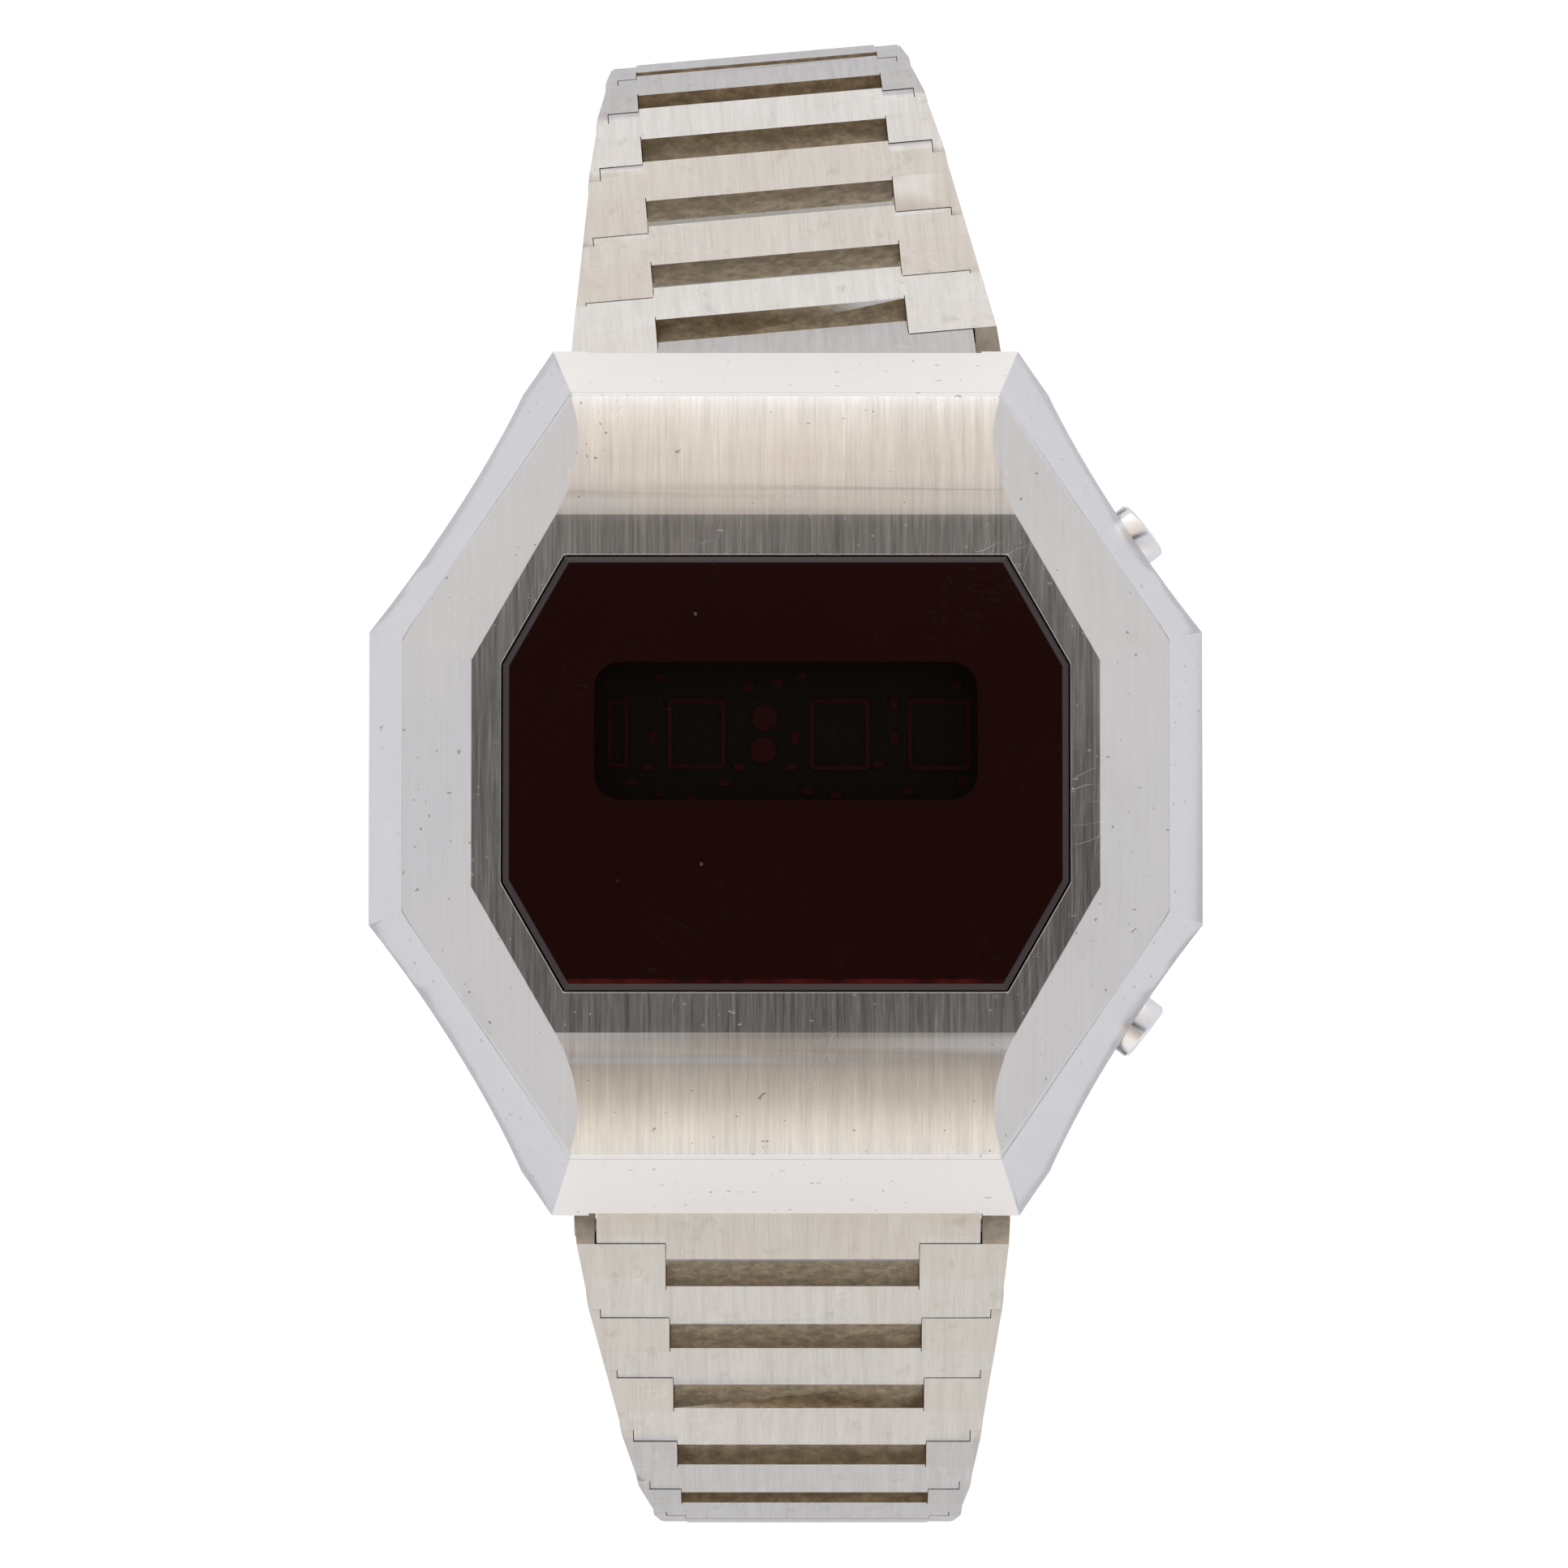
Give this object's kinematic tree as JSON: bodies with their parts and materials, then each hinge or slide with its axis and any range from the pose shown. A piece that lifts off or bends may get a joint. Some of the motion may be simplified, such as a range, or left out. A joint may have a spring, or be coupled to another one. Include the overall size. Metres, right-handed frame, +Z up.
{
  "type": "wristwatch",
  "caption": "Eight-sided steel wristwatch with a dark lens over a red digital display, side push buttons and a tapering open-link bracelet, standing with its clasp undone.",
  "frame": {"origin": "middle of the watch's bounding box, on the surface that it stands on", "axes": "+Z up out of the lens, +Y towards twelve o'clock, +X towards the push buttons"},
  "size_m": [0.0402, 0.0768, 0.045],
  "materials": {
    "cover_steel": "long brushed grain along the strap direction",
    "case_steel": "polished facets",
    "lens_dark": "polished, near black with a red cast",
    "gasket_rubber": "matt",
    "mask_black": "matt",
    "display_green": "satin, dark",
    "led_red": "unlit",
    "board_green": "satin",
    "chip_black": "matt",
    "crystal_can": "satin",
    "contact_brass": "bright",
    "frame_plastic": "moulded",
    "cell_steel": "bright",
    "back_steel": "round brushed",
    "button_chrome": "polished",
    "pin_steel": "drawn",
    "link_steel": "fine brushed faces, polished edges",
    "clasp_steel": "brushed sheet"
  },
  "bodies": {
    "head": {"top_cover": "cover_steel", "mid_case": "case_steel", "lens": "lens_dark", "lens_gasket": "gasket_rubber", "display_mask": "mask_black", "display_board": "display_green", "led_digits": "led_red", "colon_leds": "led_red", "circuit_board": "board_green", "logic_chip": "chip_black", "quartz_crystal": "crystal_can", "trimmer_capacitor": "contact_brass", "switch_contacts": "contact_brass", "module_frame": "frame_plastic", "module_screws": "pin_steel", "button_cell_left": "cell_steel", "button_cell_right": "cell_steel", "cell_contact": "contact_brass", "case_back": "back_steel", "case_back_gasket": "gasket_rubber", "spring_bars": "pin_steel", "pusher_tubes": "pin_steel", "pusher_seals": "gasket_rubber", "pusher_spring_upper": "pin_steel", "pusher_spring_lower": "pin_steel"},
    "button_upper": {"pusher_upper": "button_chrome", "pusher_clip_upper": "pin_steel"},
    "button_lower": {"pusher_lower": "button_chrome", "pusher_clip_lower": "pin_steel"},
    "clasp_cover": {"clasp_cover": "clasp_steel", "clasp_lever_pin": "pin_steel"},
    "clasp_lever": {"clasp_lever": "clasp_steel"},
    "catch_plate": {"catch_plate": "clasp_steel"},
    "end_piece_upper": {"end_piece_upper": "link_steel"},
    "end_piece_lower": {"end_piece_lower": "link_steel"},
    "link_upper_01": {"link_upper_01": "link_steel"},
    "link_upper_02": {"link_upper_02": "link_steel"},
    "link_upper_03": {"link_upper_03": "link_steel"},
    "link_upper_04": {"link_upper_04": "link_steel"},
    "link_upper_05": {"link_upper_05": "link_steel"},
    "link_upper_06": {"link_upper_06": "link_steel"},
    "link_upper_07": {"link_upper_07": "link_steel"},
    "link_upper_08": {"link_upper_08": "link_steel"},
    "link_upper_09": {"link_upper_09": "link_steel"},
    "link_upper_10": {"link_upper_10": "link_steel"},
    "link_upper_11": {"link_upper_11": "link_steel"},
    "link_lower_01": {"link_lower_01": "link_steel"},
    "link_lower_02": {"link_lower_02": "link_steel"},
    "link_lower_03": {"link_lower_03": "link_steel"},
    "link_lower_04": {"link_lower_04": "link_steel"},
    "link_lower_05": {"link_lower_05": "link_steel"},
    "link_lower_06": {"link_lower_06": "link_steel"},
    "link_lower_07": {"link_lower_07": "link_steel"},
    "link_lower_08": {"link_lower_08": "link_steel"},
    "link_lower_09": {"link_lower_09": "link_steel"},
    "link_lower_10": {"link_lower_10": "link_steel"},
    "link_lower_11": {"link_lower_11": "link_steel"}
  },
  "joints": [
    {"name": "button_upper_press", "type": "slide", "parent": "head", "child": "button_upper", "axis": [-0.788, -0.6157, 0], "range_m": [0, 0.0008], "stiffness_N_per_m": 2500, "springref_m": -0.0004, "deforming": ["pusher_spring_upper"]},
    {"name": "button_lower_press", "type": "slide", "parent": "head", "child": "button_lower", "axis": [-0.788, 0.6157, 0], "range_m": [0, 0.0008], "stiffness_N_per_m": 2500, "springref_m": -0.0004, "deforming": ["pusher_spring_lower"]},
    {"name": "end_piece_upper_hinge", "type": "hinge", "parent": "head", "child": "end_piece_upper", "pos_m": [0.00014, 0.01805, 0.03372], "axis": [1, 0, 0], "range_deg": [-2, 27]},
    {"name": "end_piece_lower_hinge", "type": "hinge", "parent": "head", "child": "end_piece_lower", "pos_m": [0.00014, -0.01995, 0.03372], "axis": [1, 0, 0], "range_deg": [-14, 28]},
    {"name": "clasp_cover_hinge", "type": "hinge", "parent": "link_lower_11", "child": "clasp_cover", "pos_m": [0.00112, -0.0277, 0.0019], "axis": [-1, 0, 0], "range_deg": [-2, 63]},
    {"name": "clasp_lever_fold", "type": "hinge", "parent": "clasp_cover", "child": "clasp_lever", "pos_m": [0.00112, -0.0051, 0.0017], "axis": [1, 0, 0], "range_deg": [-100, 0]},
    {"name": "catch_plate_hinge", "type": "hinge", "parent": "link_upper_11", "child": "catch_plate", "pos_m": [-0.00075, 0.02822, 0.00228], "axis": [0.9962, 0.0872, 0], "range_deg": [-8, 57]},
    {"name": "link_upper_01_hinge", "type": "hinge", "parent": "end_piece_upper", "child": "link_upper_01", "pos_m": [-0.00003, 0.01997, 0.03143], "axis": [0.9962, 0.0872, 0], "range_deg": [-29, 5]},
    {"name": "link_upper_02_hinge", "type": "hinge", "parent": "link_upper_01", "child": "link_upper_02", "pos_m": [-0.00033, 0.02339, 0.02874], "axis": [0.9962, 0.0872, 0], "range_deg": [-33, 1]},
    {"name": "link_upper_03_hinge", "type": "hinge", "parent": "link_upper_02", "child": "link_upper_03", "pos_m": [-0.00063, 0.02681, 0.02736], "axis": [0.9962, 0.0872, 0], "range_deg": [-18, 16]},
    {"name": "link_upper_04_hinge", "type": "hinge", "parent": "link_upper_03", "child": "link_upper_04", "pos_m": [-0.00093, 0.03025, 0.02603], "axis": [0.9962, 0.0872, 0], "range_deg": [0, 34]},
    {"name": "link_upper_05_hinge", "type": "hinge", "parent": "link_upper_04", "child": "link_upper_05", "pos_m": [-0.00118, 0.03316, 0.02375], "axis": [0.9962, 0.0872, 0], "range_deg": [0, 34]},
    {"name": "link_upper_06_hinge", "type": "hinge", "parent": "link_upper_05", "child": "link_upper_06", "pos_m": [-0.00137, 0.03527, 0.02072], "axis": [0.9962, 0.0872, 0], "range_deg": [-1, 33]},
    {"name": "link_upper_07_hinge", "type": "hinge", "parent": "link_upper_06", "child": "link_upper_07", "pos_m": [-0.00147, 0.03647, 0.01722], "axis": [0.9962, 0.0872, 0], "range_deg": [-1, 33]},
    {"name": "link_upper_08_hinge", "type": "hinge", "parent": "link_upper_07", "child": "link_upper_08", "pos_m": [-0.00149, 0.03666, 0.01353], "axis": [0.9962, 0.0872, 0], "range_deg": [-1, 33]},
    {"name": "link_upper_09_hinge", "type": "hinge", "parent": "link_upper_08", "child": "link_upper_09", "pos_m": [-0.00142, 0.03583, 0.00992], "axis": [0.9962, 0.0872, 0], "range_deg": [-1, 33]},
    {"name": "link_upper_10_hinge", "type": "hinge", "parent": "link_upper_09", "child": "link_upper_10", "pos_m": [-0.00126, 0.03405, 0.00669], "axis": [0.9962, 0.0872, 0], "range_deg": [-1, 33]},
    {"name": "link_upper_11_hinge", "type": "hinge", "parent": "link_upper_10", "child": "link_upper_11", "pos_m": [-0.00103, 0.03144, 0.00407], "axis": [0.9962, 0.0872, 0], "range_deg": [-1, 33]},
    {"name": "link_lower_01_hinge", "type": "hinge", "parent": "end_piece_lower", "child": "link_lower_01", "pos_m": [0.00034, -0.02273, 0.0326], "axis": [1, 0, 0], "range_deg": [-27, 7]},
    {"name": "link_lower_02_hinge", "type": "hinge", "parent": "link_lower_01", "child": "link_lower_02", "pos_m": [0.00049, -0.02643, 0.03029], "axis": [1, 0, 0], "range_deg": [-19, 15]},
    {"name": "link_lower_03_hinge", "type": "hinge", "parent": "link_lower_02", "child": "link_lower_03", "pos_m": [0.00065, -0.0295, 0.02822], "axis": [1, 0, 0], "range_deg": [-16, 18]},
    {"name": "link_lower_04_hinge", "type": "hinge", "parent": "link_lower_03", "child": "link_lower_04", "pos_m": [0.00081, -0.0326, 0.0262], "axis": [1, 0, 0], "range_deg": [-32, 2]},
    {"name": "link_lower_05_hinge", "type": "hinge", "parent": "link_lower_04", "child": "link_lower_05", "pos_m": [0.00096, -0.03508, 0.02346], "axis": [1, 0, 0], "range_deg": [-34, 0]},
    {"name": "link_lower_06_hinge", "type": "hinge", "parent": "link_lower_05", "child": "link_lower_06", "pos_m": [0.00112, -0.03664, 0.0201], "axis": [1, 0, 0], "range_deg": [-33, 1]},
    {"name": "link_lower_07_hinge", "type": "hinge", "parent": "link_lower_06", "child": "link_lower_07", "pos_m": [0.00112, -0.03722, 0.01645], "axis": [1, 0, 0], "range_deg": [-31, 3]},
    {"name": "link_lower_08_hinge", "type": "hinge", "parent": "link_lower_07", "child": "link_lower_08", "pos_m": [0.00112, -0.0369, 0.01276], "axis": [1, 0, 0], "range_deg": [-31, 3]},
    {"name": "link_lower_09_hinge", "type": "hinge", "parent": "link_lower_08", "child": "link_lower_09", "pos_m": [0.00112, -0.03569, 0.00926], "axis": [1, 0, 0], "range_deg": [-31, 3]},
    {"name": "link_lower_10_hinge", "type": "hinge", "parent": "link_lower_09", "child": "link_lower_10", "pos_m": [0.00112, -0.03368, 0.00616], "axis": [1, 0, 0], "range_deg": [-31, 3]},
    {"name": "link_lower_11_hinge", "type": "hinge", "parent": "link_lower_10", "child": "link_lower_11", "pos_m": [0.00112, -0.03097, 0.00364], "axis": [1, 0, 0], "range_deg": [-32, 2]}
  ]
}
